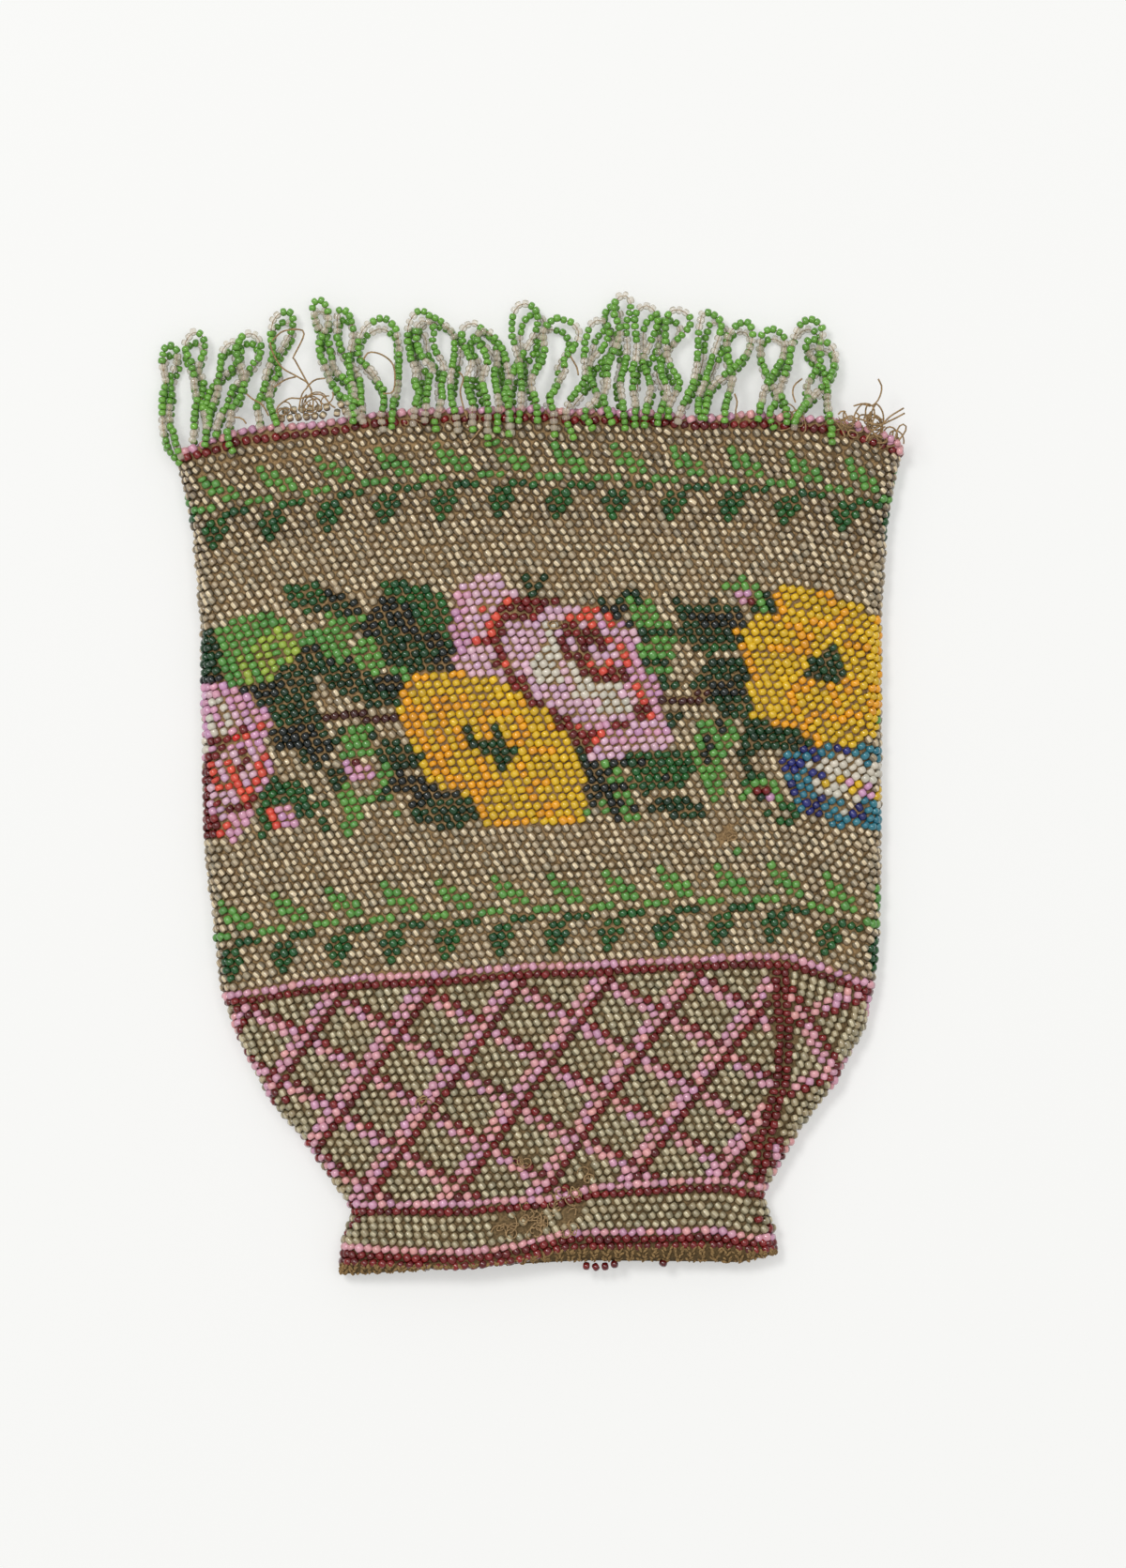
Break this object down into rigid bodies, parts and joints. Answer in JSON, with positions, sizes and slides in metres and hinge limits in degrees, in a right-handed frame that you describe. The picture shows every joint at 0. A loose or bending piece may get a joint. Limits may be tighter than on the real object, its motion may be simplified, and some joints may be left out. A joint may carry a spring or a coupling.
{
  "type": "beaded bag",
  "caption": "Flat-lying knitted bead bag: flowered band, lattice band drawing in to a neck and foot, and a swinging beaded loop fringe at the open mouth.",
  "frame": {"origin": "middle of the flat underside, on the surface that the bag lies on", "axes": "+Y up the bag to its mouth, +X to the right of its face, +Z out of its face"},
  "size_m": [0.1604, 0.2112, 0.0121],
  "materials": {
    "pink_and_garnet_beads": "opaque pink and translucent garnet glass beads, glossy",
    "floral_beads": "knitted glass beads, flowers and leaves on clear beads over tan thread, glossy",
    "lattice_beads": "knitted glass beads, pink and garnet lattice on clear beads, glossy",
    "foot_beads": "knitted clear glass beads with a pink and a garnet round, glossy",
    "tan_knit": "bare tan thread in plain knitting, matte",
    "fringe_beads": "strung green and clear glass beads, glossy"
  },
  "bodies": {
    "bag": {"floral_band_back": "floral_beads", "mouth_edging_back": "pink_and_garnet_beads", "lattice_band_back": "lattice_beads", "foot_band_back": "foot_beads", "foot_band_front": "foot_beads", "knitted_base": "tan_knit"},
    "front_of_pocket": {"floral_band_front": "floral_beads", "lattice_band_front": "lattice_beads", "mouth_edging_front": "pink_and_garnet_beads"},
    "front_clump_01": {"front_loop_01": "fringe_beads", "front_loop_02": "fringe_beads"},
    "front_clump_02": {"front_loop_03": "fringe_beads", "front_loop_04": "fringe_beads"},
    "front_clump_03": {"front_loop_05": "fringe_beads", "front_loop_06": "fringe_beads"},
    "front_clump_04": {"front_loop_07": "fringe_beads", "front_loop_08": "fringe_beads"},
    "front_clump_05": {"front_loop_09": "fringe_beads", "front_loop_10": "fringe_beads", "front_loop_11": "fringe_beads"},
    "front_clump_06": {"front_loop_12": "fringe_beads", "front_loop_13": "fringe_beads", "front_loop_14": "fringe_beads"},
    "front_clump_07": {"front_loop_15": "fringe_beads", "front_loop_16": "fringe_beads", "front_loop_17": "fringe_beads"},
    "front_clump_08": {"front_loop_18": "fringe_beads", "front_loop_19": "fringe_beads"},
    "front_clump_09": {"front_loop_20": "fringe_beads", "front_loop_21": "fringe_beads"},
    "front_clump_10": {"front_loop_22": "fringe_beads", "front_loop_23": "fringe_beads"},
    "back_clump_01": {"back_loop_01": "fringe_beads", "back_loop_02": "fringe_beads"},
    "back_clump_02": {"back_loop_03": "fringe_beads", "back_loop_04": "fringe_beads"},
    "back_clump_03": {"back_loop_05": "fringe_beads", "back_loop_06": "fringe_beads"},
    "back_clump_04": {"back_loop_07": "fringe_beads", "back_loop_08": "fringe_beads"},
    "back_clump_05": {"back_loop_09": "fringe_beads", "back_loop_10": "fringe_beads", "back_loop_11": "fringe_beads"},
    "back_clump_06": {"back_loop_12": "fringe_beads", "back_loop_13": "fringe_beads", "back_loop_14": "fringe_beads"},
    "back_clump_07": {"back_loop_15": "fringe_beads", "back_loop_16": "fringe_beads", "back_loop_17": "fringe_beads"},
    "back_clump_08": {"back_loop_18": "fringe_beads", "back_loop_19": "fringe_beads"},
    "back_clump_09": {"back_loop_20": "fringe_beads", "back_loop_21": "fringe_beads"},
    "back_clump_10": {"back_loop_22": "fringe_beads", "back_loop_23": "fringe_beads"}
  },
  "joints": [
    {"name": "mouth_opening", "type": "hinge", "parent": "bag", "child": "front_of_pocket", "pos_m": [0.004, -0.07795, 0.0084], "axis": [0.9959, 0.0899, 0], "range_deg": [0, 5]},
    {"name": "front_clump_01_swing", "type": "hinge", "parent": "bag", "child": "front_clump_01", "pos_m": [-0.06996, 0.07811, 0.00876], "axis": [0.973, 0.1938, 0.125], "range_deg": [0, 150]},
    {"name": "front_clump_02_swing", "type": "hinge", "parent": "front_of_pocket", "child": "front_clump_02", "pos_m": [-0.05741, 0.08038, 0.01003], "axis": [0.9837, 0.163, 0.0764], "range_deg": [0, 150]},
    {"name": "front_clump_03_swing", "type": "hinge", "parent": "front_of_pocket", "child": "front_clump_03", "pos_m": [-0.0433, 0.08245, 0.0108], "axis": [0.9913, 0.127, 0.0333], "range_deg": [0, 150]},
    {"name": "front_clump_04_swing", "type": "hinge", "parent": "front_of_pocket", "child": "front_clump_04", "pos_m": [-0.02919, 0.084, 0.01111], "axis": [0.9959, 0.0901, 0.0105], "range_deg": [0, 150]},
    {"name": "front_clump_05_swing", "type": "hinge", "parent": "front_of_pocket", "child": "front_clump_05", "pos_m": [-0.01507, 0.08501, 0.01119], "axis": [0.9986, 0.0529, 0.0016], "range_deg": [0, 150]},
    {"name": "front_clump_06_swing", "type": "hinge", "parent": "front_of_pocket", "child": "front_clump_06", "pos_m": [-0.00096, 0.08549, 0.0112], "axis": [0.9999, 0.0153, 0], "range_deg": [0, 150]},
    {"name": "front_clump_07_swing", "type": "hinge", "parent": "front_of_pocket", "child": "front_clump_07", "pos_m": [0.01315, 0.08544, 0.01119], "axis": [0.9998, -0.0222, -0.0011], "range_deg": [0, 150]},
    {"name": "front_clump_08_swing", "type": "hinge", "parent": "front_of_pocket", "child": "front_clump_08", "pos_m": [0.02726, 0.08486, 0.01113], "axis": [0.9982, -0.0597, -0.0086], "range_deg": [0, 150]},
    {"name": "front_clump_09_swing", "type": "hinge", "parent": "front_of_pocket", "child": "front_clump_09", "pos_m": [0.04137, 0.08375, 0.01087], "axis": [0.9949, -0.0969, -0.0291], "range_deg": [0, 150]},
    {"name": "front_clump_10_swing", "type": "hinge", "parent": "front_of_pocket", "child": "front_clump_10", "pos_m": [0.05548, 0.08211, 0.01018], "axis": [0.9886, -0.1335, -0.0691], "range_deg": [0, 150]},
    {"name": "back_clump_01_swing", "type": "hinge", "parent": "bag", "child": "back_clump_01", "pos_m": [-0.0685, 0.08356, 0], "axis": [-0.9819, -0.1895, 0], "range_deg": [0, 150]},
    {"name": "back_clump_02_swing", "type": "hinge", "parent": "bag", "child": "back_clump_02", "pos_m": [-0.0545, 0.086, 0], "axis": [-0.988, -0.1543, 0], "range_deg": [0, 150]},
    {"name": "back_clump_03_swing", "type": "hinge", "parent": "bag", "child": "back_clump_03", "pos_m": [-0.0405, 0.08793, 0], "axis": [-0.993, -0.1185, 0], "range_deg": [0, 150]},
    {"name": "back_clump_04_swing", "type": "hinge", "parent": "bag", "child": "back_clump_04", "pos_m": [-0.0265, 0.08934, 0], "axis": [-0.9966, -0.0822, 0], "range_deg": [0, 150]},
    {"name": "back_clump_05_swing", "type": "hinge", "parent": "bag", "child": "back_clump_05", "pos_m": [-0.0125, 0.09024, 0], "axis": [-0.999, -0.0456, 0], "range_deg": [0, 150]},
    {"name": "back_clump_06_swing", "type": "hinge", "parent": "bag", "child": "back_clump_06", "pos_m": [0.0015, 0.09062, 0], "axis": [-1, -0.0089, 0], "range_deg": [0, 150]},
    {"name": "back_clump_07_swing", "type": "hinge", "parent": "bag", "child": "back_clump_07", "pos_m": [0.0155, 0.09049, 0], "axis": [-0.9996, 0.0279, 0], "range_deg": [0, 150]},
    {"name": "back_clump_08_swing", "type": "hinge", "parent": "bag", "child": "back_clump_08", "pos_m": [0.0295, 0.08984, 0], "axis": [-0.9979, 0.0646, 0], "range_deg": [0, 150]},
    {"name": "back_clump_09_swing", "type": "hinge", "parent": "bag", "child": "back_clump_09", "pos_m": [0.0435, 0.08868, 0], "axis": [-0.9949, 0.1011, 0], "range_deg": [0, 150]},
    {"name": "back_clump_10_swing", "type": "hinge", "parent": "bag", "child": "back_clump_10", "pos_m": [0.0575, 0.087, 0], "axis": [-0.9906, 0.1371, 0], "range_deg": [0, 150]}
  ]
}
